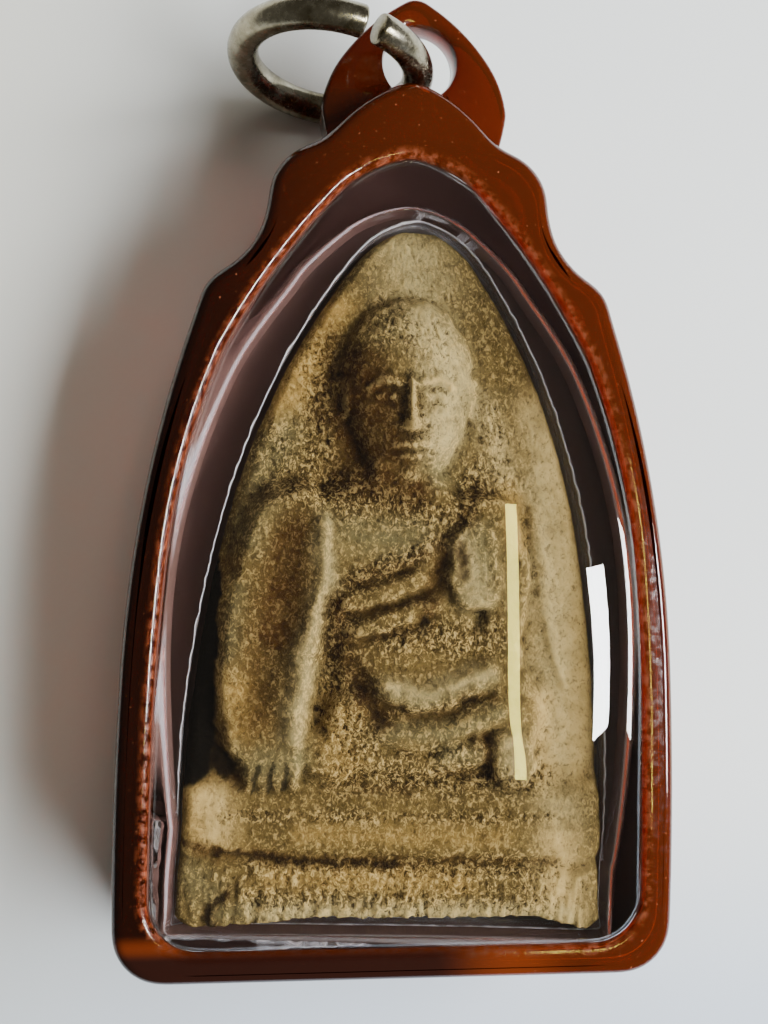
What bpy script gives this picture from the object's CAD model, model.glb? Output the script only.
import math
import bpy
import bmesh
import numpy as np
from mathutils import Matrix, Vector, noise


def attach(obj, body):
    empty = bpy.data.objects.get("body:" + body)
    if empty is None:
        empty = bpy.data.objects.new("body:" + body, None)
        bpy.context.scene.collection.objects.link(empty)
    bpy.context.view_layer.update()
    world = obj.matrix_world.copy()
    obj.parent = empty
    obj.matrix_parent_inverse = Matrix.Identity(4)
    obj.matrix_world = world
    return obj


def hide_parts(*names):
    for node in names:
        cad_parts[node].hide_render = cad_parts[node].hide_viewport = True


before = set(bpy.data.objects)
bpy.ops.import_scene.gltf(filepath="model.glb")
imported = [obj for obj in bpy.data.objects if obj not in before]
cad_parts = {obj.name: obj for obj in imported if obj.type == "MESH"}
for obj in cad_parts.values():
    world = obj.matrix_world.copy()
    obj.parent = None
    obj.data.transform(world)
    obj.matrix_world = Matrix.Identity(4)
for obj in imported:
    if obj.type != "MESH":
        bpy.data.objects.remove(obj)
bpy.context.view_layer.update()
mm = 0.001  # the tables below are in millimetres
print("frame loaded:", sorted(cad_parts))


# Camera, from the photo's own viewpoint

cameraLook = {
    "place": (-9.7, 2.9, 81.9),
    "right": (0.993, 0.017, 0.114),
    "up": (-0.0144, 0.999, -0.0238),
    "lens": 45.7,
    "nearest": 1.0,
}


def makeCamera(look):
    data = bpy.data.cameras.new("photoCamera")
    data.lens = look["lens"]
    data.sensor_width = 36
    data.clip_start = look["nearest"] * mm
    data.dof.use_dof = False
    right = Vector(look["right"]).normalized()
    up = Vector(look["up"])
    up = (up - right * up.dot(right)).normalized()
    turn = Matrix((right, up, right.cross(up))).transposed().to_4x4()
    camera = bpy.data.objects.new("photoCamera", data)
    camera.matrix_world = Matrix.Translation(Vector(look["place"]) * mm) @ turn
    bpy.context.scene.collection.objects.link(camera)
    bpy.context.scene.camera = camera


makeCamera(cameraLook)
print("camera placed")


# Small helpers for node materials

def newMaterial(name):
    material = bpy.data.materials.new(name)
    material.use_nodes = True
    tree = material.node_tree
    tree.nodes.clear()
    output = tree.nodes.new("ShaderNodeOutputMaterial")
    shader = tree.nodes.new("ShaderNodeBsdfPrincipled")
    tree.links.new(shader.outputs["BSDF"], output.inputs["Surface"])
    return material, tree, shader, output


def put(tree, kind, settings=None, **inputs):
    # one node, with its settings, and its inputs set or linked by name
    node = tree.nodes.new(kind)
    for key, value in (settings or {}).items():
        setattr(node, key, value)
    for key, value in inputs.items():
        join(tree, value, node.inputs[key.replace("_", " ")])
    return node


def join(tree, value, socket):
    if isinstance(value, bpy.types.NodeSocket):
        tree.links.new(value, socket)
    elif isinstance(value, bpy.types.Node):
        tree.links.new(value.outputs[0], socket)
    else:
        socket.default_value = value


def objectPlace(tree, scale=(1, 1, 1)):
    place = tree.nodes.new("ShaderNodeTexCoord").outputs["Object"]
    mapping = put(tree, "ShaderNodeMapping", Scale=scale)
    tree.links.new(place, mapping.inputs["Vector"])
    return mapping.outputs[0]


def noiseValue(tree, place, size, detail=4.0, roughness=0.55, distortion=0.0):
    # size is the width of a patch, in millimetres
    node = put(tree, "ShaderNodeTexNoise", Vector=place, Scale=1 / (size * mm), Detail=detail,
               Roughness=roughness, Distortion=distortion)
    return node.outputs["Fac"]


def ramp(tree, value, stops):
    # stops are (position, grey or colour)
    node = tree.nodes.new("ShaderNodeValToRGB")
    tree.links.new(value, node.inputs["Fac"])
    elements = node.color_ramp.elements
    while len(elements) < len(stops):
        elements.new(0.5)
    for element, (position, colour) in zip(elements, stops):
        element.position = position
        element.color = (colour, colour, colour, 1) if isinstance(colour, (int, float)) else (*colour, 1)
    return node.outputs["Color"]


def mixColour(tree, share, first, second, kind="MIX"):
    node = tree.nodes.new("ShaderNodeMix")
    node.data_type = "RGBA"
    node.blend_type = kind
    join(tree, share, node.inputs["Factor"])
    join(tree, first if isinstance(first, bpy.types.NodeSocket) else (*first, 1), node.inputs["A"])
    join(tree, second if isinstance(second, bpy.types.NodeSocket) else (*second, 1), node.inputs["B"])
    return node.outputs["Result"]


def calc(tree, kind, first, second=0.0):
    node = tree.nodes.new("ShaderNodeMath")
    node.operation = kind
    join(tree, first, node.inputs[0])
    join(tree, second, node.inputs[1])
    return node.outputs[0]


def attribute(tree, name):
    return put(tree, "ShaderNodeAttribute", {"attribute_name": name}).outputs["Fac"]


def bump(tree, shader, height, strength, depth):
    # depth is the height of a full step, in millimetres
    node = put(tree, "ShaderNodeBump", Strength=strength, Distance=depth * mm, Height=height)
    tree.links.new(node.outputs["Normal"], shader.inputs["Normal"])


def fade(tree, value, start, end, low=0.0, high=1.0):
    # smooth change from low to high between two places, in millimetres
    node = put(tree, "ShaderNodeMapRange", {"interpolation_type": "SMOOTHSTEP"}, Value=value,
               From_Min=start * mm, From_Max=end * mm, To_Min=low, To_Max=high)
    return node.outputs[0]


def tintInside(tree, output, colour, density):
    absorb = put(tree, "ShaderNodeVolumeAbsorption", Color=(*colour, 1), Density=density)
    tree.links.new(absorb.outputs[0], output.inputs["Volume"])


def letLampsThrough(tree, shader, output, tint):
    # lamps reach what lies behind a clear piece
    see = put(tree, "ShaderNodeBsdfTransparent", Color=(*tint, 1))
    path = tree.nodes.new("ShaderNodeLightPath")
    mix = tree.nodes.new("ShaderNodeMixShader")
    tree.links.new(path.outputs["Is Shadow Ray"], mix.inputs[0])
    tree.links.new(shader.outputs["BSDF"], mix.inputs[1])
    tree.links.new(see.outputs[0], mix.inputs[2])
    tree.links.new(mix.outputs[0], output.inputs["Surface"])


# Stage: pale paper, soft window light from the right

stageLook = {
    "paperSize": 900.0, "paperColour": (0.82, 0.82, 0.80), "dimShare": 0.93, "roughness": 0.85,
    "washSize": 22, "fibreSize": 1.2,
    # axis, where the tint starts, where it is full, the tint
    "tints": [("Y", -12, -36, (0.70, 0.76, 0.88)), ("X", 0, -36, (0.92, 0.88, 0.79))],
    "skyColour": (1.0, 0.94, 0.80),
    "skyStrength": 0.12,
}
# way to the lamp (turn from +X, height, in degrees), distance, width, height, roll, watts, colour,
# whether it lights surfaces, whether it is seen in reflections
lamps = {
    "windowLight": (-16, 37, 330, 520, 190, 0, 5.6, (0.92, 0.97, 1.0), True, False),
    "skyLight": (-6, 39, 330, 105, 56, 0, 1.5, (0.95, 0.98, 1.0), False, True),
    "paneLight": (-18, 64, 330, 62, 26, 26, 0.7, (0.95, 0.98, 1.0), False, True),
    "doorLight": (82, 48, 330, 160, 160, 0, 0.18, (1.0, 0.95, 0.84), True, False),
    "gapLight": (-28, 73, 310, 92, 4.5, 28, 0.05, (1.0, 0.88, 0.18), False, True),
}


def makePaper(look):
    bm = bmesh.new()
    bmesh.ops.create_grid(bm, x_segments=1, y_segments=1, size=look["paperSize"] / 2 * mm)
    mesh = bpy.data.meshes.new("paper")
    bm.to_mesh(mesh)
    bm.free()
    paper = bpy.data.objects.new("paper", mesh)
    bpy.context.scene.collection.objects.link(paper)
    material, tree, shader, output = newMaterial("whitePaper")
    place = objectPlace(tree)
    fibres = noiseValue(tree, place, look["fibreSize"], 6.0, 0.6)
    wash = noiseValue(tree, place, look["washSize"], 2.0)
    pale = look["paperColour"]
    dim = tuple(c * look["dimShare"] for c in pale)
    colour = mixColour(tree, wash, dim, pale)
    for axis, start, end, tint in look["tints"]:
        along = put(tree, "ShaderNodeSeparateXYZ", Vector=place).outputs[axis]
        colour = mixColour(tree, fade(tree, along, start, end), colour, tint, "MULTIPLY")
    join(tree, colour, shader.inputs["Base Color"])
    shader.inputs["Roughness"].default_value = look["roughness"]
    shader.inputs["Specular IOR Level"].default_value = 0
    bump(tree, shader, fibres, 0.25, 0.05)
    mesh.materials.append(material)


def makeLights(look):
    world = bpy.data.worlds.new("studio")
    bpy.context.scene.world = world
    world.use_nodes = True
    sky = world.node_tree.nodes["Background"]
    sky.inputs["Color"].default_value = (*look["skyColour"], 1)
    sky.inputs["Strength"].default_value = look["skyStrength"]
    for name, (turn, rise, distance, width, height, roll, power, colour, lit, seen) in lamps.items():
        data = bpy.data.lights.new(name, "AREA")
        data.shape = "RECTANGLE"
        data.size = width * mm
        data.size_y = height * mm
        data.energy = power
        data.color = colour
        lamp = bpy.data.objects.new(name, data)
        turn, rise = math.radians(turn), math.radians(rise)
        way = Vector((math.cos(turn) * math.cos(rise), math.sin(turn) * math.cos(rise), math.sin(rise)))
        lamp.location = way * distance * mm
        face = (-way).to_track_quat("-Z", "Y").to_matrix() @ Matrix.Rotation(math.radians(roll), 3, "Z")
        lamp.rotation_euler = face.to_euler()
        lamp.visible_diffuse = lit
        lamp.visible_transmission = False
        lamp.visible_glossy = seen
        bpy.context.scene.collection.objects.link(lamp)


makePaper(stageLook)
makeLights(stageLook)
print("paper and lights ready")


# Outlines, from the same tables as the solids; y runs from the case's bottom edge

caseShape = {
    "width": 32.5, "height": 51.4, "corner": 2.9,
    # across and up (shares of half the width and of the height), bulge (share of the chord)
    "rows": [(0.985, 0.330, 0.008), (0.730, 0.752, 0.037), (0.657, 0.786, 0.120), (0.520, 0.833, -0.080),
             (0.491, 0.881, -0.040), (0.369, 0.926, 0.120), (0.270, 0.946, -0.080), (0.056, 0.997, 0.060),
             (0.0, 1.0, 0.080)],
    "backT": 4.5, "frontZ": 4.6, "top": 8.6, "lipT": 1.0, "rimRound": 0.7, "seam": 0.15, "gap": 0.1,
    "backEnd": 50.20,
    # distance outside the opening and rubbed share, on the outer face
    "faceRows": [(1.3, 0.0), (0.75, 0.0), (0.42, 0.7)],
    # distance outside the opening and depth, round the rubbed mouth
    "mouthRows": [(0.25, 0.03), (0.10, 0.12), (0.02, 0.27), (0.0, 0.45)],
    "mouthRubbed": 0.9, "lipRubbed": 0.3,
}
windowShape = {
    "width": 28.6, "height": 45.15, "corner": 2.8, "up": 1.95, "shoulder": 0.6,
    "rows": [(0.993, 0.223, 0.004), (0.937, 0.511, 0.012), (0.734, 0.754, 0.033), (0.262, 0.962, 0.035),
             (0.0, 1.0, 0.070)],
    "domeRise": 1.8, "domeT": 1.1, "innerDrop": 1.2, "crownShare": 0.2, "middle": 0.43, "hollow": 0.93,
    "backT": 2.0, "ledge": 6.1, "waveRate": 0.9, "waveDepth": 0.22, "domeSteps": 26,
}
tabletShape = {
    "width": 25.3, "height": 41.1, "x": 0.25, "up": 2.8, "lean": 1.7, "bottom": 2.1, "ground": 5.6,
    "rows": [(0.970, 0.270, 0.010), (0.860, 0.520, 0.012), (0.580, 0.790, 0.030), (0.285, 0.944, 0.020),
             (0.0, 1.0, 0.100)],
    "pocketGap": 0.25, "cornerWear": 0.7,
}
lugShape = {
    "width": 10.8, "root": 0.88, "height": 9.09, "x": 0.3, "up": 47.4, "arch": 0.9,
    "rows": [(1.0, 0.297, 0.030), (0.800, 0.610, 0.060), (0.140, 0.972, 0.055), (0.0, 1.0, 0.080)],
    "hole": (0.55, 52.89), "holeD": 4.2, "low": 4.6, "thick": 2.6, "edgeRound": 0.3,
    # distance outside the hole and depth, from the face into the hole
    "holeRows": [(0.35, 0.0), (0.08, 0.15), (0.0, 0.4)],
}
outlineStep = 0.25  # distance between neighbouring points of an outline


def sideCurve(start, halfWidth, height, rows, steps=16):
    points = [np.array(start, float)]
    at = points[0]
    for across, up, bulge in rows:
        to = np.array([across * halfWidth, up * height])
        way = to - at
        side = np.array([way[1], -way[0]])
        for i in range(1, steps + 1):
            t = i / steps
            points.append(at + way * t + side * 4 * bulge * t * (1 - t))
        at = to
    return np.array(points)


def mirrored(right):
    left = right[-2::-1] * np.array([-1, 1])
    return np.vstack([right, left])


def archOutline(shape):
    half, corner = shape["width"] / 2, shape["corner"]
    turns = np.linspace(-math.pi / 2, 0, 13)
    foot = np.stack([half - corner + corner * np.cos(turns), corner + corner * np.sin(turns)], 1)
    side = sideCurve(foot[-1], half, shape["height"], shape["rows"])
    return mirrored(np.vstack([foot, side[1:]]))


def evenly(points, step=outlineStep):
    # closed outline with its points at even distances
    closed = np.vstack([points, points[:1]])
    run = np.concatenate([[0], np.cumsum(np.linalg.norm(np.diff(closed, axis=0), axis=1))])
    count = int(round(run[-1] / step))
    at = np.arange(count) * run[-1] / count
    return np.stack([np.interp(at, run, closed[:, 0]), np.interp(at, run, closed[:, 1])], 1)


def softened(points, passes):
    # rounds the kinks between the stretches
    for _ in range(passes):
        points = (np.roll(points, 1, 0) + 2 * points + np.roll(points, -1, 0)) / 4
    return points


def grown(points, distance):
    way = np.roll(points, -1, 0) - np.roll(points, 1, 0)
    way /= np.linalg.norm(way, axis=1)[:, None]
    return points + np.stack([way[:, 1], -way[:, 0]], 1) * distance


def polar(points, centre):
    off = points - centre
    return np.arctan2(off[:, 1], off[:, 0]), np.hypot(off[:, 0], off[:, 1])


def alongRays(points, centre, angles):
    # the outline's points on the rays from the centre at these angles
    own, reach = polar(points, centre)
    order = np.argsort(own)
    reach = np.interp(angles, own[order], reach[order], period=2 * math.pi)
    return centre + np.stack([np.cos(angles), np.sin(angles)], 1) * reach[:, None]


domeCentre = np.array([0, windowShape["middle"] * caseShape["height"]])
caseOutline = softened(evenly(archOutline(caseShape)), 6)
rayAngles, _ = polar(caseOutline, domeCentre)
windowOutline = evenly(archOutline(windowShape), 0.1) + np.array([0, windowShape["up"]])
windowOutline = softened(windowOutline, 12)


def opening(distance):
    return alongRays(grown(windowOutline, distance), domeCentre, rayAngles)


def tabletSide():
    half = tabletShape["width"] / 2
    return sideCurve((half, 0), half, tabletShape["height"], tabletShape["rows"])


def leaned(points):
    # from the tablet's own frame to the case's
    lean = math.radians(tabletShape["lean"])
    turn = np.array([[math.cos(lean), math.sin(lean)], [-math.sin(lean), math.cos(lean)]])
    shift = np.array([tabletShape["x"] - tabletShape["height"] / 2 * math.tan(lean), tabletShape["up"]])
    return points @ turn.T + shift


def inFrame(points, z):
    # outline points to the shared frame, in metres
    z = np.broadcast_to(z, (len(points),))
    return np.stack([points[:, 0], points[:, 1] - caseShape["height"] / 2, z], 1) * mm


def extruded(bm, edges):
    # one extrusion of a loop of edges: its new points and its new edges
    made = bmesh.ops.extrude_edge_only(bm, edges=edges)["geom"]
    loop = [g for g in made if isinstance(g, bmesh.types.BMVert)]
    fresh = set(loop)
    return loop, [g for g in made if isinstance(g, bmesh.types.BMEdge) and set(g.verts) <= fresh]


def loftRings(name, rings, marks=None):
    # skin over rings of equally many points, made by extruding a circle again and again;
    # poles and the place where the last ring meets the first are merged
    bm = bmesh.new()
    order = bm.verts.layers.int.new("order")
    tone = bm.verts.layers.float.new("tone")
    marks = marks or [0.0] * len(rings)
    loop = bmesh.ops.create_circle(bm, segments=len(rings[0]), radius=1)["verts"]
    for k, vert in enumerate(loop):
        vert[order] = k
    edges = list(bm.edges)
    for step, ring in enumerate(rings):
        if step:
            loop, edges = extruded(bm, edges)
        for vert in loop:
            vert.co = ring[vert[order]]
            vert[tone] = marks[step]
    bmesh.ops.remove_doubles(bm, verts=bm.verts, dist=1e-7)
    bmesh.ops.recalc_face_normals(bm, faces=bm.faces)
    return finishMesh(name, bm)


def finishMesh(name, bm, sharpAngle=38):
    mesh = bpy.data.meshes.new(name)
    bm.to_mesh(mesh)
    bm.free()
    mesh.shade_smooth()
    mesh.set_sharp_from_angle(angle=math.radians(sharpAngle))
    piece = bpy.data.objects.new(name, mesh)
    bpy.context.scene.collection.objects.link(piece)
    return piece


def settle(piece, material, slot, *nodes):
    piece.data.materials.clear()
    piece.data.materials.append(material)
    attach(piece, "root")
    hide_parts(*nodes)


# Brown plastic plates

brownLook = {
    "body": (0.42, 0.066, 0.009), "bodyShare": (0.020, 0.12), "bodySpan": (-13, 2),
    "colour": (0.73, 0.30, 0.0), "plateDensity": 560.0, "lugDensity": 3200.0, "ior": 1.49,
    "rubbed": (0.42, 0.120, 0.055), "speck": (0.50, 0.25, 0.14), "low": (0.020, 0.005, 0.003),
    "scuffSize": 0.5, "speckSize": 0.22, "scratchSize": 0.06,
    "rubbedCover": 0.35, "lowCover": 0.85, "rubbedRough": 0.12, "rubbedDull": 0.9,
    "lowSpan": (-22.6, -24.2), "leftSpan": (11, 2),
    "shadowTint": (0.04, 0.03, 0.022),
}


def brownPlastic(name, density):
    b = brownLook
    material, tree, shader, output = newMaterial(name)
    place = objectPlace(tree)
    split = put(tree, "ShaderNodeSeparateXYZ", Vector=place)
    across, up = split.outputs["X"], split.outputs["Y"]
    least, most = b["bodyShare"]
    seeThrough = fade(tree, across, *b["bodySpan"], 1 - least, 1 - most)
    scuff = noiseValue(tree, place, b["scuffSize"], 6.0, 0.7)
    tone = attribute(tree, "tone")
    rubbed = calc(tree, "MULTIPLY", tone, ramp(tree, scuff, [(0.44, 0.0), (0.60, 1.0)]))
    speck = ramp(tree, noiseValue(tree, place, b["speckSize"], 2.0, 0.5), [(0.70, 0.0), (0.76, 0.45)])
    # the lower edge is darker on its left two thirds
    low = calc(tree, "MULTIPLY", fade(tree, up, *b["lowSpan"]), fade(tree, across, *b["leftSpan"]))
    colour = mixColour(tree, rubbed, b["body"], b["rubbed"])
    colour = mixColour(tree, speck, colour, b["speck"])
    join(tree, mixColour(tree, low, colour, b["low"]), shader.inputs["Base Color"])
    cover = calc(tree, "MAXIMUM", calc(tree, "MULTIPLY", rubbed, b["rubbedCover"]), speck)
    cover = calc(tree, "MAXIMUM", cover, calc(tree, "MULTIPLY", low, b["lowCover"]))
    clearShare = calc(tree, "MULTIPLY", seeThrough, calc(tree, "SUBTRACT", 1.0, cover))
    join(tree, clearShare, shader.inputs["Transmission Weight"])
    shader.inputs["IOR"].default_value = b["ior"]
    smear = ramp(tree, scuff, [(0.45, 0.05), (0.75, 0.16)])
    smear = calc(tree, "ADD", smear, calc(tree, "MULTIPLY", rubbed, b["rubbedRough"]))
    join(tree, smear, shader.inputs["Roughness"])
    dull = calc(tree, "MULTIPLY", calc(tree, "MAXIMUM", tone, speck), b["rubbedDull"])
    shine = calc(tree, "MAXIMUM", calc(tree, "SUBTRACT", 0.5, dull), 0.0)
    join(tree, shine, shader.inputs["Specular IOR Level"])
    scratches = noiseValue(tree, objectPlace(tree, (1, 0.05, 1)), b["scratchSize"], 3.0, 0.6)
    bump(tree, shader, calc(tree, "ADD", scuff, scratches), 0.03, 0.02)
    tintInside(tree, output, b["colour"], density)
    letLampsThrough(tree, shader, output, b["shadowTint"])
    return material


def quarterRound(radius, steps):
    # (inset, drop) pairs from a side to a face
    turns = np.linspace(0, math.pi / 2, steps + 1)
    return [(radius * (1 - math.cos(t)), radius * (1 - math.sin(t))) for t in turns]


def plateRings(inner, outer):
    # from the inner face round the outside to the outer face, the mouth and the lip
    s, w = caseShape, windowShape
    out = 1 if outer > inner else -1
    lip = outer - out * s["lipT"]
    rings = [(opening(w["shoulder"]), inner, 0.0), (grown(caseOutline, -s["seam"]), inner, 0.0),
             (caseOutline, inner + out * 2 * s["seam"], 0.0)]
    for inset, drop in quarterRound(s["rimRound"], 7):
        rings.append((grown(caseOutline, -inset), outer - out * drop, 0.0))
    for reach, tone in s["faceRows"]:
        rings.append((opening(reach), outer, tone))
    for reach, drop in s["mouthRows"]:
        rings.append((opening(reach), outer - out * drop, s["mouthRubbed"]))
    rings += [(opening(0), lip, s["lipRubbed"]), (opening(w["shoulder"]), lip, 0.0)]
    rings.append(rings[0])
    return [inFrame(points, z) for points, z, _ in rings], [tone for _, _, tone in rings]


def makePlates(material):
    s = caseShape
    rings, tones = plateRings(s["frontZ"], s["top"])
    front = loftRings("frontPlate", rings, tones)
    settle(front, material, "brown_plastic", "case_front")
    rings, tones = plateRings(s["backT"], 0.0)
    back = loftRings("backPlate", rings, tones)
    bm = bmesh.new()
    bm.from_mesh(back.data)
    cut = bmesh.ops.bisect_plane(bm, geom=bm.verts[:] + bm.edges[:] + bm.faces[:],
                                 plane_co=(0, (s["backEnd"] - s["height"] / 2) * mm, 0),
                                 plane_no=(0, 1, 0), clear_outer=True)["geom_cut"]
    rim = [g for g in cut if isinstance(g, bmesh.types.BMEdge)]
    bmesh.ops.edgenet_fill(bm, edges=rim)
    bmesh.ops.recalc_face_normals(bm, faces=bm.faces)
    bm.to_mesh(back.data)
    bm.free()
    settle(back, material, "brown_plastic", "case_back")


# Clear windows

clearLook = {
    "absorb": (0.55, 0.50, 0.58), "density": 120.0, "ior": 1.45,
    "frosted": (0.34, 0.265, 0.25), "frostRough": 0.5, "frostCover": 0.75,
    "coat": (0.150, 0.082, 0.062), "coatDull": 1.6,
    "shadowTint": (0.97, 0.97, 0.97),
}


def clearPlastic():
    c = clearLook
    material, tree, shader, output = newMaterial("clearPlastic")
    # tone over 0 is frosted, under 0 is the dark cement at the window's sides
    tone = attribute(tree, "tone")
    frost = calc(tree, "MAXIMUM", tone, 0.0)
    coat = calc(tree, "MAXIMUM", calc(tree, "MULTIPLY", tone, -1.0), 0.0)
    colour = mixColour(tree, frost, (1, 1, 1), c["frosted"])
    join(tree, mixColour(tree, coat, colour, c["coat"]), shader.inputs["Base Color"])
    shader.inputs["IOR"].default_value = c["ior"]
    join(tree, calc(tree, "MULTIPLY", frost, c["frostRough"]), shader.inputs["Roughness"])
    shine = calc(tree, "SUBTRACT", 0.5, calc(tree, "MULTIPLY", coat, c["coatDull"]))
    join(tree, calc(tree, "MAXIMUM", shine, 0.0), shader.inputs["Specular IOR Level"])
    cover = calc(tree, "ADD", calc(tree, "MULTIPLY", frost, c["frostCover"]), coat)
    join(tree, calc(tree, "SUBTRACT", 1.0, cover), shader.inputs["Transmission Weight"])
    tintInside(tree, output, c["absorb"], c["density"])
    letLampsThrough(tree, shader, output, c["shadowTint"])
    return material


def domeRise(share):
    # height of the dome over the case's face, as a share of its full rise
    crown = windowShape["crownShare"]
    return crown * (1 - share ** 2) + (1 - crown) * math.sqrt(max(0.0, 1 - share ** 12))


def fromCentre(points, share):
    return domeCentre + (points - domeCentre) * share


def shrunk(points, share):
    # towards the middle the outline loses its corners
    reach = np.linalg.norm(points - domeCentre, axis=1)
    keep = share ** 7
    return fromCentre(points, (share * (keep + (1 - keep) * softened(reach, 2500) / reach))[:, None])


def pocketWave(points):
    # small unevenness of the pocket's rim, outwards only
    rate = windowShape["waveRate"]
    wave = [abs(noise.noise(Vector((px * rate, py * rate, 5.0)))) for px, py in points]
    reach = np.linalg.norm(points - domeCentre, axis=1)
    return fromCentre(points, (1 + windowShape["waveDepth"] * np.array(wave) / reach)[:, None])


def windowOutlines():
    # the window's rim, its shoulder under the lip, the tablet's pocket and the hollow over it
    s, w = caseShape, windowShape
    edge = opening(-s["gap"])
    shoulder = opening(w["shoulder"] - s["gap"])
    tablet = evenly(leaned(mirrored(tabletSide())), 0.1)
    pocket = softened(evenly(grown(tablet, tabletShape["pocketGap"]), 0.1), 3)
    pocket = alongRays(pocket, domeCentre, rayAngles)
    hollow = shrunk(edge, w["hollow"])
    wider = np.linalg.norm(pocket - domeCentre, axis=1) > np.linalg.norm(hollow - domeCentre, axis=1)
    return edge, shoulder, pocket, np.where(wider[:, None], pocket, hollow)


def makeWindow(name, rows, material, node):
    # rows are (outline, height, tone)
    rings = [inFrame(points, z) for points, z, _ in rows]
    window = loftRings(name, rings, [tone for _, _, tone in rows])
    settle(window, material, "clear_plastic", node)


def makeWindows(material):
    s, w, bottom = caseShape, windowShape, tabletShape["bottom"]
    edge, shoulder, pocket, hollow = windowOutlines()
    ceiling = s["top"] + w["domeRise"] - w["domeT"]
    lipUnder = s["top"] - s["lipT"] - s["gap"]
    steps = 1 - 0.995 * np.linspace(0, 1, w["domeSteps"]) ** 1.7
    # the ceiling, the pocket's wall, the outside under and in the opening, the dome
    rows = []
    for share in [0, *steps[:0:-1], 0.997]:
        sag = w["crownShare"] * w["domeRise"] * share ** 2 + w["innerDrop"] * (1 - math.sqrt(1 - share ** 16))
        rows.append((shrunk(hollow, share), ceiling - sag, 0.0))
    ledge, wavy = w["ledge"], pocketWave(pocket)
    rows += [
        (hollow, ledge + 0.15, 0.0), (fromCentre(wavy, 1.007), ledge + 0.04, 0.0),
        (wavy, ledge + 0.02, 0.7), (wavy, ledge - 0.08, 0.7), (pocket, ledge - 0.3, 0.0),
        (pocket, bottom, -1.0), (shoulder, bottom, -1.0), (shoulder, lipUnder, -1.0), (edge, lipUnder, -1.0),
        (edge, s["top"] - 0.1, 0.0),
    ]
    for share in [0.999, 0.995, 0.988, *steps[1:], 0]:
        rows.append((shrunk(edge, share), s["top"] + w["domeRise"] * domeRise(share), 0.0))
    makeWindow("clearDome", rows, material, "window_front")

    lip, thick, middle = s["lipT"] + s["gap"], w["backT"], shrunk(edge, 0)
    rows = [
        (middle, 0.0, 0.0), (edge, 0.0, 0.0), (edge, lip, -1.0), (shoulder, lip, -1.0),
        (shoulder, thick, -1.0), (fromCentre(pocket, 0.97), thick, -1.0),
        (fromCentre(pocket, 0.955), thick, 0.0), (middle, thick, 0.0),
    ]
    makeWindow("clearBack", rows, material, "window_back")


# Lug

def makeLug(material):
    g = lugShape
    half, centre = g["width"] / 2, np.array(g["hole"])
    side = sideCurve((half * g["root"], 0), half, g["height"], g["rows"])
    turns = np.linspace(-1, 1, 18)[1:-1]
    arch = np.stack([half * g["root"] * turns, g["arch"] * (1 - turns ** 2)], 1)
    outline = np.vstack([mirrored(side), arch]) + np.array([g["x"], g["up"]])
    angles = np.linspace(-math.pi, math.pi, 240, endpoint=False)
    shape = alongRays(softened(evenly(outline, 0.1), 3), centre, angles)
    low, high = g["low"], g["low"] + g["thick"]

    def hole(distance):
        return centre + np.stack([np.cos(angles), np.sin(angles)], 1) * (g["holeD"] / 2 + distance)

    rounded = quarterRound(g["edgeRound"], 4)
    rings = [inFrame(grown(shape, -inset), low + drop) for inset, drop in reversed(rounded)]
    rings += [inFrame(grown(shape, -inset), high - drop) for inset, drop in rounded]
    rings += [inFrame(hole(distance), high - drop) for distance, drop in g["holeRows"]]
    rings += [inFrame(hole(distance), low + drop) for distance, drop in reversed(g["holeRows"])]
    rings.append(rings[0])
    settle(loftRings("hangingLug", rings), material, "brown_plastic", "lug")


# Jump ring

ringShape = {
    "centre": (-4.525, 27.141, 5.9), "turn": -8.0, "tilt": 77.3, "radius": 5.125, "wire": 0.9,
    "gapAt": 70.0, "gap": 0.9, "endRound": 0.12, "steps": 150, "sides": 32,
    # way along the rounded end as a share of it, width as a share of the end's own
    "endRows": [(0.0, 1.0), (0.3, 1.09), (1.0, 1.154)],
}
steelLook = {
    "dark": (0.16, 0.135, 0.080), "bright": (0.42, 0.39, 0.30), "tarnishSize": 1.6, "fineSize": 0.35,
}


def steelWire():
    look = steelLook
    material, tree, shader, output = newMaterial("steelWire")
    place = objectPlace(tree)
    tarnish = noiseValue(tree, place, look["tarnishSize"], 5.0, 0.65)
    colour = ramp(tree, tarnish, [(0.35, look["dark"]), (0.6, look["bright"])])
    join(tree, colour, shader.inputs["Base Color"])
    shader.inputs["Metallic"].default_value = 1.0
    fine = noiseValue(tree, place, look["fineSize"], 6.0, 0.7)
    join(tree, ramp(tree, fine, [(0.3, 0.16), (0.7, 0.34)]), shader.inputs["Roughness"])
    bump(tree, shader, fine, 0.2, 0.02)
    return material


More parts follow.
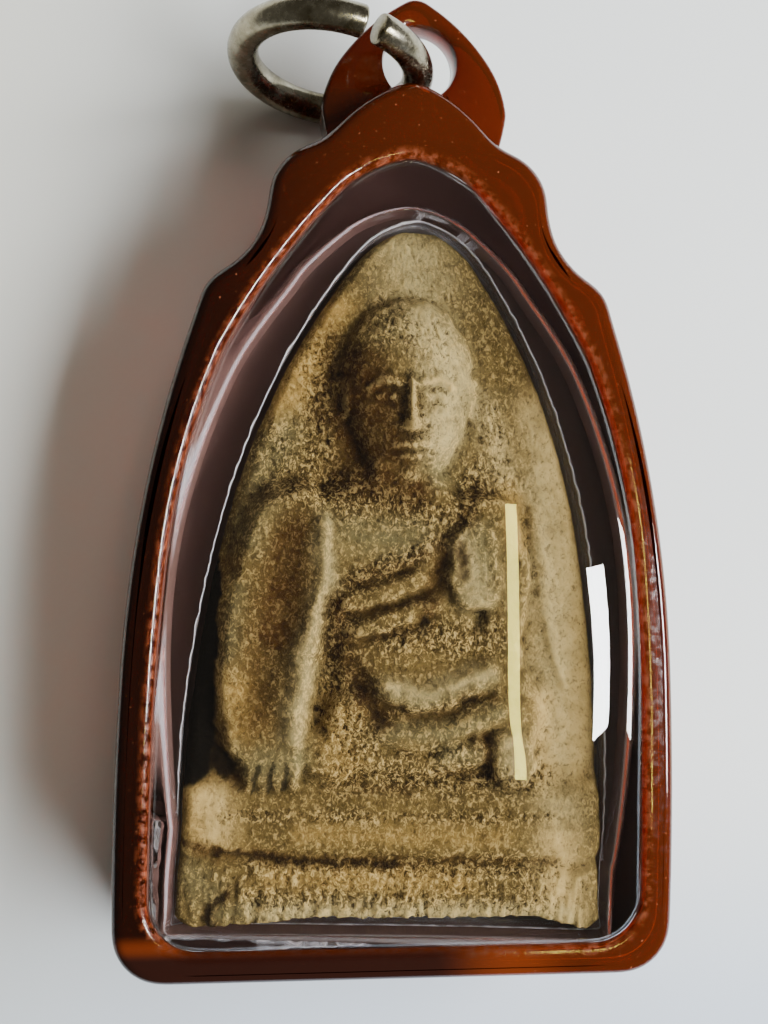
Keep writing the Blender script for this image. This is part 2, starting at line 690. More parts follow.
def makeRing(material):
    r = ringShape
    bm = bmesh.new()
    bmesh.ops.create_circle(bm, segments=r["sides"], radius=(r["wire"] - r["endRound"]) * mm)
    core = Vector((r["radius"] * mm, 0, 0))
    quarter = Matrix.Rotation(math.pi / 2, 4, "X")
    bmesh.ops.transform(bm, matrix=Matrix.Translation(core) @ quarter, verts=bm.verts)
    gap = 2 * math.asin(r["gap"] / 2 / r["radius"])
    bite = r["endRound"] / r["radius"]
    whole = 2 * math.pi - gap
    # the first and last sections widen from the rounded end to the full wire
    sections = [(bite * along, width) for along, width in r["endRows"]]
    fullWidth = sections[-1][1]
    sections += [(turn, fullWidth) for turn in np.linspace(bite * 2, whole - bite * 2, r["steps"])]
    sections += [(whole - bite * along, width) for along, width in reversed(r["endRows"])]
    edges = list(bm.edges)
    bmesh.ops.contextual_create(bm, geom=edges)
    last, lastWidth = sections[0]
    for turn, width in sections[1:]:
        loop, edges = extruded(bm, edges)
        back = Matrix.Rotation(-last, 4, "Z")
        size = Matrix.Translation(core) @ Matrix.Scale(width / lastWidth, 4) @ Matrix.Translation(-core)
        bmesh.ops.transform(bm, matrix=Matrix.Rotation(turn, 4, "Z") @ size @ back, verts=loop)
        last, lastWidth = turn, width
    bmesh.ops.contextual_create(bm, geom=edges)
    start = Matrix.Rotation(math.radians(r["gapAt"]) + gap / 2, 4, "Z")
    tilt = Matrix.Rotation(math.radians(r["tilt"]), 4, "X")
    turn = Matrix.Rotation(math.radians(r["turn"]), 4, "Z")
    placed = Matrix.Translation(Vector(r["centre"]) * mm) @ turn @ tilt @ start
    bmesh.ops.transform(bm, matrix=placed, verts=bm.verts)
    bmesh.ops.recalc_face_normals(bm, faces=bm.faces)
    settle(finishMesh("openRing", bm, 50), material, "steel_wire", "jump_ring")


# Clay tablet; places in its relief are in millimetres from the middle of its foot

clayGrid = {"columns": 208, "rows": 400, "tipShare": 0.992, "soften": 2}
# size, octaves, place in the noise
clayNoise = {
    "edge": (1.1, 3, 3.0), "lumps": (2.6, 3, 31.0), "coarse": (0.75, 4, 11.0), "fine": (0.34, 2, 23.0),
    "wornX": (1.1, 3, 51.0), "wornY": (1.1, 3, 57.0), "stripes": (0.55, 3, 71.0),
}
clayDepths = {
    "edge": 0.07, "edgeInset": 0.10, "lumps": 0.11, "warp": 0.20, "stripes": 0.14, "stripesTop": 3.3,
    # on smooth clay, and more on rough clay
    "coarse": (0.03, 0.08), "fine": (0.04, 0.10),
    "wear": 0.8, "wearWidth": 0.8, "footUp": 1.2,
}
# how much the colour follows the grain, the forms and the face
cavityShares = {"grain": 3.4, "forms": 1.1, "formLimit": 0.3, "face": 2.3}
# forms of the body: path of (x, y), radius along it, height over the ground
clayForms = {
    "trunk": ([(-1.0, 22.0), (0.3, 17.0)], [6.0, 5.6], 1.15),
    "shoulders": ([(-6.0, 23.0), (-0.5, 23.2), (4.8, 23.6)], [2.3, 2.2, 2.2], 1.28),
    "neck": ([(-0.5, 26.4), (0.0, 24.4)], [2.5, 3.6], 1.25),
    "longArm": ([(-6.7, 22.8), (-7.5, 18.6), (-7.9, 13.6), (-7.7, 10.2)], [3.3, 3.8, 3.6, 3.0], 1.62),
    "bentArm": ([(5.2, 24.0), (6.2, 20.6), (5.8, 17.0)], [1.6, 1.7, 1.7], 1.25),
    "elbow": ([(3.9, 22.3), (4.1, 20.2)], [2.0, 2.2], 1.80),
    "lap": ([(-2.0, 11.4), (1.8, 11.4), (6.2, 12.6)], [3.2, 3.6, 3.2], 1.22),
    "thigh": ([(1.4, 15.6), (5.6, 15.8)], [2.4, 2.2], 1.22),
    "knee": ([(6.7, 10.2), (6.9, 9.6)], [1.9, 1.8], 1.60),
    "foot": ([(3.0, 10.1), (4.9, 10.2)], [1.0, 1.0], 1.40),
    "leftKnee": ([(-4.4, 10.0), (-3.6, 9.6)], [1.8, 1.7], 1.05),
}
# added to the forms or cut from them: path, radius along it, height, share of the radius that is level
clayTouches = {
    "clothEdge": ([(4.6, 25.8), (2.6, 22.9), (0.5, 21.4), (-2.8, 20.2)], [0.7, 0.7, 0.6, 0.6], 0.22, 0.2),
    "clothLine": ([(4.0, 25.4), (1.9, 22.3), (0.2, 20.9), (-3.0, 19.7)], [0.45, 0.45, 0.4, 0.4], -0.26, 0.1),
    "foldOne": ([(-3.3, 18.8), (-1.2, 19.4), (0.7, 20.3)], [0.75, 0.8, 0.7], 0.42, 0.45),
    "foldOneLine": ([(-3.3, 18.0), (-1.1, 18.5), (0.9, 19.4), (2.2, 20.0)],
                    [0.35, 0.35, 0.35, 0.3], -0.3, 0.1),
    "foldTwo": ([(-3.0, 17.1), (-0.6, 17.9), (1.8, 18.9)], [0.6, 0.75, 0.6], 0.4, 0.45),
    "foldTwoLine": ([(-3.0, 16.4), (-0.5, 17.1), (1.9, 18.0)], [0.35, 0.35, 0.4], -0.3, 0.1),
    "elbowGroove": ([(2.9, 22.3), (3.3, 20.7)], [0.55, 0.45], -0.3, 0.1),
    "elbowSide": ([(2.1, 22.8), (1.9, 20.4)], [0.5, 0.5], -0.22, 0.1),
    "elbowUnder": ([(1.9, 18.4), (5.2, 18.5)], [0.25, 0.25], -0.16, 0.1),
    "armRidge": ([(-4.9, 23.2), (-4.6, 20.0), (-5.6, 16.4), (-6.1, 13.2), (-6.2, 10.7)],
                 [0.8, 0.8, 0.9, 0.9, 0.8], 0.34, 0.2),
    "armHollow": ([(-7.0, 22.0), (-7.3, 18.2), (-8.2, 14.0)], [1.7, 1.8, 1.6], -0.3, 0.1),
    "besideArm": ([(-3.2, 17.6), (-4.4, 14.4), (-4.6, 11.4)], [0.9, 0.9, 0.9], -0.32, 0.1),
    "lapOne": ([(-0.9, 13.9), (0.8, 13.2), (2.8, 13.7), (5.1, 14.9)], [0.8, 1.05, 1.05, 0.9], 0.48, 0.35),
    "lapOneLine": ([(-0.9, 12.9), (1.0, 12.2), (3.0, 12.5), (5.4, 13.7)], [0.4, 0.45, 0.4, 0.35], -0.36, 0.1),
    "lapOneTop": ([(-0.6, 14.9), (2.6, 15.4), (5.0, 16.0)], [0.35, 0.35, 0.3], -0.18, 0.1),
    "lapTwo": ([(-0.9, 11.3), (1.0, 11.0), (3.2, 11.4), (5.9, 12.6)], [0.65, 0.8, 0.8, 0.65], 0.38, 0.35),
    "lapTwoLine": ([(-1.0, 10.4), (1.2, 9.9), (3.0, 10.5), (6.0, 11.7)], [0.35, 0.35, 0.35, 0.3], -0.3, 0.1),
    "lapPit": ([(3.8, 13.2), (4.3, 13.3)], [0.4, 0.35], -0.35, 0.1),
    "diagonal": ([(-2.9, 15.4), (-2.0, 13.4), (-1.0, 11.9)], [0.8, 0.9, 0.6], -0.42, 0.1),
    "kneeSide": ([(5.3, 11.2), (5.5, 8.8)], [0.5, 0.5], -0.28, 0.1),
    "recess": ([(-11.3, 20.6), (-12.2, 14.6), (-12.6, 10.6), (-12.4, 9.4)],
               [0.55, 1.5, 1.9, 1.6], -3.2, 0.75),
    "besideHand": ([(-11.0, 10.2), (-9.3, 8.9)], [1.2, 0.8], -0.75, 0.2),
    "rightRidge": ([(7.6, 24.4), (8.4, 20.0), (9.4, 15.5), (9.9, 14.3)], [0.7, 0.7, 0.6, 0.4], 0.22, 0.2),
    "rightHollow": ([(10.4, 24.0), (11.0, 16.0)], [0.9, 1.0], -0.15, 0.1),
    "miniGroove": ([(-10.1, 8.0), (-8.9, 7.5)], [0.3, 0.3], -0.35, 0.1),
    "crack": ([(-9.4, 1.9), (-10.5, 0.9), (-10.2, -0.4)], [0.35, 0.4, 0.4], -0.7, 0.2),
    "corner": ([(-13.2, 3.0), (-12.6, -0.5)], [1.6, 1.6], -0.5, 0.2),
}
clayFingers = {
    "first": -8.6, "step": 0.84, "count": 4, "top": 9.8, "tip": 7.9, "slant": 0.15, "radius": 0.40,
    "height": 0.50, "palm": 1.15,
}
# the pedestal's height by the distance from its foot, and where its face ends at the foot by x
clayPedestal = [
    (-1.0, 1.7), (0.6, 1.78), (3.2, 1.72), (3.6, 1.45), (3.95, 1.15), (4.3, 1.45), (4.8, 1.62),
    (6.0, 1.55), (6.35, 1.32), (6.7, 1.3), (7.5, 1.24), (7.9, 1.0), (8.4, 0.6), (9.4, 0.0),
]
clayFoot = [
    (-13.0, -0.2), (-10.4, 0.0), (-7.9, 0.2), (-5.0, 0.6), (3.5, 0.72), (8.5, 0.85), (11.0, 0.3),
    (13.0, 0.0),
]
# the head's place, size and tilt; the face is a plain calm one on even proportions
clayHead = {
    "chin": (0.1, 25.3), "crown": (-0.6, 36.6), "halfWidth": 3.9, "widest": 0.60, "jaw": 0.14, "height": 1.95,
    "groove": 1.09, "grooveWidth": 0.06, "grooveDepth": 0.26, "faceRise": 2.0,
    # shares of half the head's width and of its height: path, radius along it, height
    "face": [
        ([(-0.62, 0.53), (-0.40, 0.575), (-0.14, 0.555)], [0.11, 0.13, 0.10], 0.13),
        ([(0.62, 0.53), (0.40, 0.575), (0.14, 0.555)], [0.11, 0.13, 0.10], 0.13),
        ([(0.0, 0.56), (0.0, 0.42), (0.0, 0.355)], [0.10, 0.14, 0.19], 0.34),
        ([(-0.15, 0.335), (0.15, 0.335)], [0.11, 0.11], 0.12),
        ([(-0.38, 0.495), (-0.36, 0.495)], [0.27, 0.27], -0.17),
        ([(0.36, 0.495), (0.38, 0.495)], [0.27, 0.27], -0.17),
        ([(-0.48, 0.488), (-0.37, 0.494), (-0.26, 0.486)], [0.10, 0.14, 0.10], 0.15),
        ([(0.48, 0.488), (0.37, 0.494), (0.26, 0.486)], [0.10, 0.14, 0.10], 0.15),
        ([(-0.24, 0.238), (0.0, 0.243), (0.24, 0.238)], [0.08, 0.11, 0.08], 0.12),
        ([(-0.18, 0.192), (0.0, 0.186), (0.18, 0.192)], [0.08, 0.11, 0.08], 0.10),
        ([(-0.27, 0.215), (0.27, 0.215)], [0.05, 0.05], -0.12),
        ([(-0.05, 0.085), (0.05, 0.085)], [0.22, 0.22], 0.12),
        ([(-1.00, 0.56), (-0.96, 0.40)], [0.16, 0.12], 0.18),
        ([(1.00, 0.56), (0.96, 0.40)], [0.16, 0.12], 0.18),
    ],
}
# patches of finish: path, radius along it, strength
clayPatches = {
    "stain": [
        ([(-3.1, 32.4), (-2.7, 29.6), (-2.0, 26.8)], [1.5, 2.5, 2.3], 1.9),
        ([(-3.6, 26.2), (0.2, 25.2)], [1.9, 1.4], 1.2), ([(-4.7, 34.2), (-5.2, 29.4)], [0.8, 1.2], 0.9),
        ([(-6.6, 22.8), (-7.0, 19.2), (-7.4, 16.8)], [1.4, 2.0, 1.8], 1.2),
        ([(-7.8, 16.4), (-8.3, 12.0)], [2.1, 1.9], 0.8), ([(-11.2, 9.6), (-9.4, 8.4)], [1.3, 0.9], 1.0),
        ([(-9.0, 24.6), (-6.4, 25.6)], [0.8, 1.0], 0.5),
        ([(-3.9, 18.6), (-3.4, 15.8), (-2.0, 13.4), (-0.9, 11.9)], [1.1, 1.3, 1.3, 0.9], 0.95),
        ([(4.3, 25.6), (2.3, 22.6), (0.4, 21.2), (-3.2, 19.9)], [0.8, 0.9, 0.8, 0.7], 0.75),
        ([(2.0, 22.4), (1.8, 19.6), (1.2, 17.5)], [0.7, 1.0, 0.6], 0.85),
        ([(2.9, 22.3), (3.3, 20.7)], [0.7, 0.5], 0.8), ([(-3.2, 18.0), (1.2, 19.2)], [0.5, 0.5], 0.7),
        ([(-3.0, 16.3), (1.6, 17.6)], [0.6, 0.5], 0.6),
        ([(-0.9, 12.9), (1.0, 12.2), (3.0, 12.5), (5.4, 13.6)], [0.5, 0.5, 0.5, 0.5], 0.6),
        ([(3.8, 13.3), (4.4, 13.4)], [0.6, 0.6], 0.8), ([(5.2, 11.2), (5.5, 8.8)], [0.7, 0.7], 0.8),
        ([(2.6, 9.0), (7.4, 8.4)], [0.6, 0.5], 0.5),
        ([(-12.9, 5.2), (-10.6, 4.3), (-8.4, 4.1), (-5.1, 3.75), (0.2, 3.75)],
         [0.4, 0.45, 0.4, 0.4, 0.4], 1.2),
        ([(0.2, 3.75), (9.8, 4.0)], [0.35, 0.35], 0.7),
        ([(-9.4, 1.9), (-10.5, 0.9), (-10.2, -0.4)], [0.4, 0.4, 0.4], 1.0),
        ([(5.6, 37.0), (8.0, 29.6)], [0.8, 0.9], 0.5), ([(-2.5, 7.9), (1.0, 7.9)], [0.3, 0.3], 0.7),
    ],
    "pit": [
        ([(-11.3, 20.6), (-12.2, 14.6), (-12.6, 10.6), (-12.4, 9.4)], [0.5, 1.5, 1.9, 1.6], 2.0),
        ([(-11.4, 9.6), (-9.9, 9.0)], [0.8, 0.6], 0.8),
        ([(-2.6, 14.4), (-2.0, 13.2), (-1.0, 11.9)], [0.2, 0.35, 0.3], 0.35),
        ([(-10.4, 4.25), (-8.4, 4.05), (-5.1, 3.75), (0.2, 3.75)], [0.12, 0.16, 0.16, 0.12], 0.5),
        ([(-9.6, 1.8), (-10.5, 0.9), (-10.3, 0.0)], [0.2, 0.2, 0.2], 0.7),
        ([(1.4, 17.9), (1.1, 17.2)], [0.25, 0.2], 0.5), ([(-8.14, 9.2), (-8.26, 7.8)], [0.17, 0.17], 0.8),
        ([(-7.3, 9.4), (-7.42, 7.8)], [0.17, 0.17], 0.8),
        ([(-6.46, 9.2), (-6.58, 7.8)], [0.17, 0.17], 0.8), ([(3.9, 13.3), (4.3, 13.35)], [0.3, 0.25], 0.5),
    ],
    "light": [
        ([(-0.4, 40.2), (0.0, 37.6)], [2.8, 3.0], 0.5),
        ([(0.6, 35.4), (2.0, 32.0), (1.6, 28.4)], [1.8, 1.8, 1.5], 0.75),
        ([(7.6, 30.4), (9.4, 22.0), (10.2, 10.0)], [1.6, 2.0, 2.2], 0.9),
        ([(9.6, 8.6), (10.4, 1.0)], [1.8, 1.8], 0.6),
        ([(-4.8, 23.2), (-4.6, 20.0), (-5.6, 16.4), (-6.1, 11.0)], [0.7, 0.7, 0.8, 0.8], 0.3),
        ([(4.2, 30.6), (5.6, 27.0)], [1.2, 1.4], 0.5), ([(3.0, 22.4), (4.4, 19.4)], [0.9, 1.0], 0.5),
        ([(-0.4, 14.1), (1.2, 13.6), (5.0, 15.0)], [0.5, 0.6, 0.6], 0.5),
        ([(-10.6, 7.2), (-10.4, 5.6)], [1.4, 1.3], 0.6), ([(-8.0, 0.9), (8.0, 1.1)], [0.6, 0.6], 0.6),
        ([(6.8, 10.8), (7.0, 9.6)], [0.9, 0.9], 0.5),
    ],
    "rough": [
        ([(-2.0, 35.0), (1.0, 33.6)], [2.0, 1.8], 0.6), ([(-0.4, 31.0), (0.8, 27.6)], [1.8, 1.6], 0.45),
        ([(-6.5, 25.4), (-2.0, 24.9), (1.6, 24.2)], [1.6, 1.8, 1.3], 1.0),
        ([(4.4, 26.6), (2.3, 22.7), (-3.2, 19.9)], [1.6, 0.9, 0.9], 1.0),
        ([(-0.4, 16.8), (2.4, 16.9), (5.0, 17.2)], [1.5, 1.6, 1.4], 1.0),
        ([(-3.8, 18.6), (-3.8, 14.0), (-2.8, 10.4)], [1.2, 1.7, 2.2], 1.0),
        ([(-3.5, 8.8), (8.5, 8.6)], [1.3, 1.2], 1.0), ([(-5.6, 33.4), (-5.6, 27.0)], [1.4, 1.8], 0.9),
        ([(4.8, 30.0), (5.4, 26.0)], [1.1, 1.4], 0.8), ([(-10.0, 6.3), (9.4, 6.5)], [0.5, 0.5], 0.8),
        ([(-8.0, 3.4), (9.4, 3.5)], [0.9, 0.9], 0.9), ([(-7.5, 1.6), (8.5, 1.6)], [1.6, 1.6], 0.75),
        ([(-0.4, 12.4), (4.8, 13.4)], [0.6, 0.6], 0.7), ([(0.4, 10.0), (5.0, 10.6)], [0.7, 0.6], 0.7),
        ([(-7.6, 28.0), (-7.2, 25.0)], [1.8, 1.8], 0.6),
    ],
    "warm": [
        ([(9.8, 25.0), (10.9, 16.0), (11.0, 9.6)], [1.2, 1.3, 1.4], 1.0),
        ([(7.6, 31.0), (9.4, 25.4)], [1.2, 1.2], 0.9), ([(8.8, 13.0), (9.4, 9.2)], [1.3, 1.2], 0.9),
        ([(-4.6, 35.6), (-7.4, 30.0)], [1.2, 1.5], 0.9), ([(-9.6, 13.4), (-9.0, 11.4)], [1.4, 1.3], 0.75),
        ([(-10.8, 7.4), (-10.6, 5.4)], [1.8, 1.6], 1.0), ([(-7.0, 3.0), (4.0, 2.8)], [1.0, 1.0], 0.5),
        ([(9.9, 5.0), (10.2, 1.4)], [1.4, 1.4], 0.9), ([(-4.0, 12.6), (-3.2, 9.4)], [1.6, 1.5], 0.5),
        ([(6.0, 25.6), (6.6, 22.6)], [0.9, 0.8], 0.7), ([(-5.4, 5.4), (6.0, 5.4)], [0.9, 0.9], 0.35),
    ],
    "grey": [
        ([(-4.8, 23.4), (-4.6, 20.0), (-5.6, 16.4), (-6.0, 13.2), (-6.2, 10.6)],
         [0.9, 0.9, 1.0, 1.0, 1.0], 1.0),
        ([(-8.4, 9.4), (-5.8, 9.6)], [1.4, 1.3], 0.9), ([(-3.0, 22.8), (0.4, 22.6)], [1.7, 1.6], 0.9),
        ([(3.8, 22.6), (4.3, 19.6)], [1.7, 1.8], 1.0),
        ([(-0.6, 13.9), (1.2, 13.3), (5.0, 14.8)], [0.8, 1.0, 0.9], 1.0),
        ([(-0.6, 11.3), (3.0, 11.5), (5.8, 12.6)], [0.8, 0.9, 0.7], 0.9),
        ([(3.0, 10.1), (4.9, 10.2)], [0.9, 0.9], 0.8), ([(6.6, 10.4), (6.9, 9.2)], [1.6, 1.6], 0.8),
        ([(-0.4, 39.8), (0.0, 37.8)], [2.6, 2.6], 1.0),
        ([(-9.2, 22.6), (-8.6, 25.8), (-7.0, 29.0)], [1.6, 1.8, 1.3], 0.8),
        ([(0.8, 35.6), (2.2, 31.0), (1.6, 26.8)], [2.0, 2.0, 1.5], 1.0),
        ([(-10.0, 0.9), (10.4, 1.0)], [0.9, 0.9], 0.8), ([(-11.6, 3.0), (-10.0, 1.4)], [1.4, 1.3], 0.8),
        ([(-9.7, 19.6), (-9.9, 15.6)], [0.7, 0.7], 0.7), ([(-1.5, 34.6), (-0.4, 35.6)], [1.6, 1.4], 0.6),
    ],
}


def alongPath(x, y, path, radii):
    # distance from a path as a share of the path's radius there
    nearest = np.full(x.shape, 9.0)
    for (x0, y0), (x1, y1), r0, r1 in zip(path, path[1:], radii, radii[1:]):
        wayX, wayY = x1 - x0, y1 - y0
        t = np.clip(((x - x0) * wayX + (y - y0) * wayY) / (wayX ** 2 + wayY ** 2), 0, 1)
        away = np.hypot(x - x0 - t * wayX, y - y0 - t * wayY)
        nearest = np.minimum(nearest, away / (r0 + (r1 - r0) * t))
    return nearest


def smoothFall(share, level):
    # 1 on the path's middle, 0 at its radius
    t = np.clip((share - level) / (1 - level), 0, 1)
    return 1 - t * t * (3 - 2 * t)


def softMax(a, b, blend):
    # the higher of two heights, with a small fillet where they meet
    mix = np.clip(0.5 + 0.5 * (a - b) / blend, 0, 1)
    return b + (a - b) * mix + blend * mix * (1 - mix) * 0.5


def boxBlur(grid, passes):
    for _ in range(passes):
        grid = (np.vstack([grid[:1], grid[:-1]]) + grid + np.vstack([grid[1:], grid[-1:]])) / 3
        grid = (np.hstack([grid[:, :1], grid[:, :-1]]) + grid + np.hstack([grid[:, 1:], grid[:, -1:]])) / 3
    return grid


def fractal(x, y, size, octaves, seed):
    spots = zip(x.flat, y.flat)
    values = [noise.fractal(Vector((a / size, b / size, seed)), 0.8, 2.1, octaves) for a, b in spots]
    return np.array(values).reshape(x.shape)


def patch(x, y, rows, crisp=False):
    total = np.zeros(x.shape)
    for path, radii, strength in rows:
        share = alongPath(x, y, path, radii)
        fall = np.clip((1.15 - share) / 0.3, 0, 1) if crisp else np.exp(-1.6 * share ** 2)
        total = np.maximum(total, strength * fall)
    return np.clip(total, 0, 1)


def headPlace(x, y):
    # along and across the head's own axis, and the reach that is 1 on its outline
    h = clayHead
    (chinX, chinY), (crownX, crownY) = h["chin"], h["crown"]
    span = math.hypot(crownX - chinX, crownY - chinY)
    upX, upY = (crownX - chinX) / span, (crownY - chinY) / span
    across = (x - chinX) * upY - (y - chinY) * upX
    along = ((x - chinX) * upX + (y - chinY) * upY) / span
    above = along > h["widest"]
    up = np.where(above, (along - h["widest"]) / (1 - h["widest"]), (h["widest"] - along) / h["widest"])
    side = across / h["halfWidth"]
    reach = np.hypot(side / np.where(above, 1, 1 - h["jaw"] * np.clip(up, 0, 1.3) ** 2), up)
    return side, along, along * span / h["halfWidth"], reach


def headHeight(x, y, height):
    h = clayHead
    side, along, _, reach = headPlace(x, y)
    dome = h["height"] * np.clip(1 - reach ** 2.6, 0, 1) ** 0.42
    height = softMax(height, dome, 0.15)
    cut = np.exp(-((reach - h["groove"]) / h["grooveWidth"]) ** 2)
    return height - h["grooveDepth"] * cut * np.clip((along - 0.15) * 4, 0, 1) * np.where(side > 0, 1, 0.5)


def faceHeight(x, y):
    h = clayHead
    side, along, tall, _ = headPlace(x, y)
    stretch = tall.max() / along.max()
    height = np.zeros(x.shape)
    for path, radii, rise in h["face"]:
        path = [(px, py * stretch) for px, py in path]
        height = height + h["faceRise"] * rise * smoothFall(alongPath(side, tall, path, radii), 0.0)
    return height


def reliefHeight(x, y, lumps):
    height = np.zeros(x.shape)
    for path, radii, rise in clayForms.values():
        height = softMax(height, rise * smoothFall(alongPath(x, y, path, radii), 0.60), 0.30)
    f = clayFingers
    for i in range(f["count"]):
        at = f["first"] + i * f["step"]
        finger = alongPath(x, y, [(at + f["slant"], f["top"]), (at, f["tip"])], [f["radius"]] * 2)
        height = np.maximum(height, f["palm"] + f["height"] * smoothFall(finger, 0.0) - 2.0 * (finger > 1))
    height = headHeight(x, y, height)
    for path, radii, rise, level in clayTouches.values():
        height = height + rise * smoothFall(alongPath(x, y, path, radii), level)
    steps = np.interp(y + 0.22 * lumps, *zip(*clayPedestal))
    return softMax(height, steps, 0.2)


def tabletGrid(bm):
    # the grid's points in rows and columns, bent to the tablet's outline
    t, g, d = tabletShape, clayGrid, clayDepths
    bmesh.ops.create_grid(bm, x_segments=g["columns"], y_segments=g["rows"], size=1)
    place = np.array([v.co[:2] for v in bm.verts])
    order = np.lexsort((place[:, 0], np.round(place[:, 1], 5)))
    place = place[order].reshape(g["rows"] + 1, g["columns"] + 1, 2)
    side = tabletSide()
    y = (place[..., 1] + 1) / 2 * t["height"] * g["tipShare"]
    half = np.interp(y, side[:, 1], side[:, 0]) - t["cornerWear"] * np.clip(1 - y / t["cornerWear"], 0, 1)
    ragged = fractal(np.sign(place[..., 0]) * 40, y, *clayNoise["edge"])
    return order, place[..., 0] * (half - d["edgeInset"] + d["edge"] * ragged), y, half


def clayGrain(x, y, coarse, rough):
    d = clayDepths
    fine = 0.45 - 1.6 * np.abs(fractal(x + 0.3 * y, y * 0.6, *clayNoise["fine"]))
    stripes = fractal(x, y * 0.22, *clayNoise["stripes"]) * np.clip((d["stripesTop"] - y) / 0.4, 0, 1)
    grain = (d["coarse"][0] + d["coarse"][1] * rough) * coarse + (d["fine"][0] + d["fine"][1] * rough) * fine
    return grain + d["stripes"] * stripes


def clayCavity(grain, height, face):
    # over half on crests, under half in hollows
    c = cavityShares
    forms = np.clip(height - boxBlur(height, 10), -c["formLimit"], c["formLimit"])
    bend = c["grain"] * (grain - boxBlur(grain, 5)) + c["forms"] * forms
    return np.clip(0.5 + bend + c["face"] * (face - boxBlur(face, 16)), 0, 1)


def addSides(bm, bottom):
    # from the grid's rim down to a flat back
    rim = [e for e in bm.edges if e.is_boundary]
    for drop in (0.5, 1.0):
        loop, rim = extruded(bm, rim)
        for vert in loop:
            vert.co.z += (bottom * mm - vert.co.z) * drop
    bmesh.ops.contextual_create(bm, geom=rim)


def makeTablet(material):
    t, d, soften = tabletShape, clayDepths, clayGrid["soften"]
    bm = bmesh.new()
    order, x, y, half = tabletGrid(bm)
    lumps = fractal(x, y, *clayNoise["lumps"])
    coarse = fractal(x, y, *clayNoise["coarse"])
    rough = np.clip(patch(x, y, clayPatches["rough"]) + 0.25 * lumps, 0.15, 1)
    grain = clayGrain(x, y, coarse, rough)
    wornX = x + d["warp"] * fractal(x, y, *clayNoise["wornX"])
    wornY = y + d["warp"] * fractal(x, y, *clayNoise["wornY"])
    face = boxBlur(faceHeight(x, y), soften)
    height = boxBlur(reliefHeight(wornX, wornY, lumps), soften) + face + d["lumps"] * lumps
    inside = np.minimum(half - np.abs(x), (t["height"] - y) * 0.6)
    wear = np.clip(1 - inside / d["wearWidth"], 0, 1) ** 2
    foot = np.interp(x, *zip(*clayFoot)) + 0.10 * coarse
    broken = np.clip((foot - y) / 0.25, 0, 1)
    z = t["ground"] + height + grain - d["wear"] * wear
    z = z * (1 - broken) + (t["bottom"] + d["footUp"]) * broken
    tones = {name: patch(x + 0.30 * lumps + 0.15 * coarse, y + 0.35 * coarse, rows, name == "pit")
             for name, rows in clayPatches.items()}
    tones["rough"] = rough
    tones["cavity"] = clayCavity(grain, height, face)
    tones["stain"] = np.maximum(tones["stain"], broken)
    layers = {name: bm.verts.layers.float.new(name) for name in tones}
    spots = inFrame(leaned(np.stack([x.ravel(), y.ravel()], 1)), z.ravel())
    bm.verts.ensure_lookup_table()
    for spot, index in zip(spots, order):
        bm.verts[index].co = spot
    for name, layer in layers.items():
        for value, index in zip(tones[name].flat, order):
            bm.verts[index][layer] = value
    addSides(bm, t["bottom"] + 0.02)
    bmesh.ops.recalc_face_normals(bm, faces=bm.faces)
    settle(finishMesh("clayTablet", bm, 70), material, "clay", "tablet")


clayLook = {
    "khaki": (0.058, 0.037, 0.010), "pale": (0.310, 0.215, 0.074), "dark": (0.012, 0.006, 0.002),
    "brown": (0.022, 0.009, 0.002), "warm": (0.250, 0.150, 0.036), "grey": (0.076, 0.063, 0.025),
    "light": (0.420, 0.315, 0.128), "pit": (0.004, 0.003, 0.002),
    "washSize": 2.2, "gritSize": 0.24, "speckSize": 0.9, "roughness": 0.85,
    # patch, its colour, its strength
    "layers": [("warm", "warm", 0.85), ("grey", "grey", 0.80), ("light", "light", 0.65),
               ("stain", "brown", 0.97)],
}


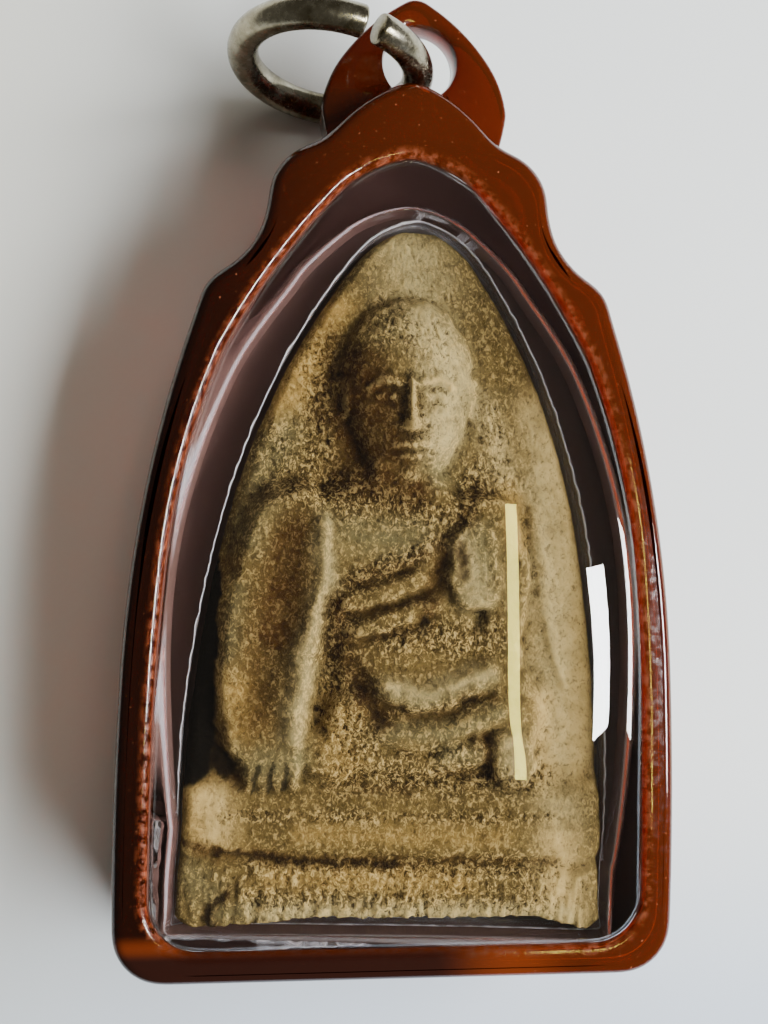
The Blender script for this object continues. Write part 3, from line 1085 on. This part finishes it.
def pressedClay():
    c = clayLook
    material, tree, shader, output = newMaterial("pressedClay")
    place = objectPlace(tree)
    rough = attribute(tree, "rough")
    wash = noiseValue(tree, place, c["washSize"], 5.0, 0.6)
    grit = noiseValue(tree, objectPlace(tree, (1, 0.7, 1)), c["gritSize"], 2.0, 0.65, 1.2)
    speck = noiseValue(tree, place, c["speckSize"], 6.0, 0.7)
    colour = mixColour(tree, ramp(tree, wash, [(0.38, 0.0), (0.62, 1.0)]), tuple(v * 0.8 for v in c["khaki"]),
                       tuple(v * 1.25 for v in c["khaki"]))
    for name, tone, share in c["layers"]:
        ragged = ramp(tree, speck, [(0.30, 0.55), (0.62, 1.15)])
        ragged = calc(tree, "MULTIPLY", attribute(tree, name), ragged)
        colour = mixColour(tree, calc(tree, "MULTIPLY", ragged, share), colour, c[tone])
    grain = calc(tree, "SUBTRACT", ramp(tree, grit, [(0.36, 0.0), (0.62, 1.0)]), 0.5)
    grainShare = calc(tree, "ADD", calc(tree, "MULTIPLY", rough, 0.54), 0.36)
    level = calc(tree, "ADD", attribute(tree, "cavity"), calc(tree, "MULTIPLY", grain, grainShare))
    clean = calc(tree, "SUBTRACT", 1.0, calc(tree, "MULTIPLY", attribute(tree, "stain"), 0.65))
    crest = calc(tree, "MULTIPLY", ramp(tree, level, [(0.56, 0.0), (0.92, 0.80)]), clean)
    colour = mixColour(tree, crest, colour, c["pale"])
    colour = mixColour(tree, ramp(tree, level, [(0.05, 0.92), (0.45, 0.0)]), colour, c["dark"])
    colour = mixColour(tree, attribute(tree, "pit"), colour, c["pit"])
    join(tree, colour, shader.inputs["Base Color"])
    shader.inputs["Roughness"].default_value = c["roughness"]
    shader.inputs["Specular IOR Level"].default_value = 0
    deep = calc(tree, "MULTIPLY", grit, calc(tree, "ADD", calc(tree, "MULTIPLY", rough, 0.9), 0.25))
    bump(tree, shader, calc(tree, "ADD", deep, calc(tree, "MULTIPLY", speck, 0.3)), 0.7, 0.16)
    return material


makePlates(brownPlastic("brownPlastic", brownLook["plateDensity"]))
print("plates made")
makeWindows(clearPlastic())
print("windows made")
makeLug(brownPlastic("brownLug", brownLook["lugDensity"]))
makeRing(steelWire())
print("lug and ring made")
makeTablet(pressedClay())
print("tablet made")
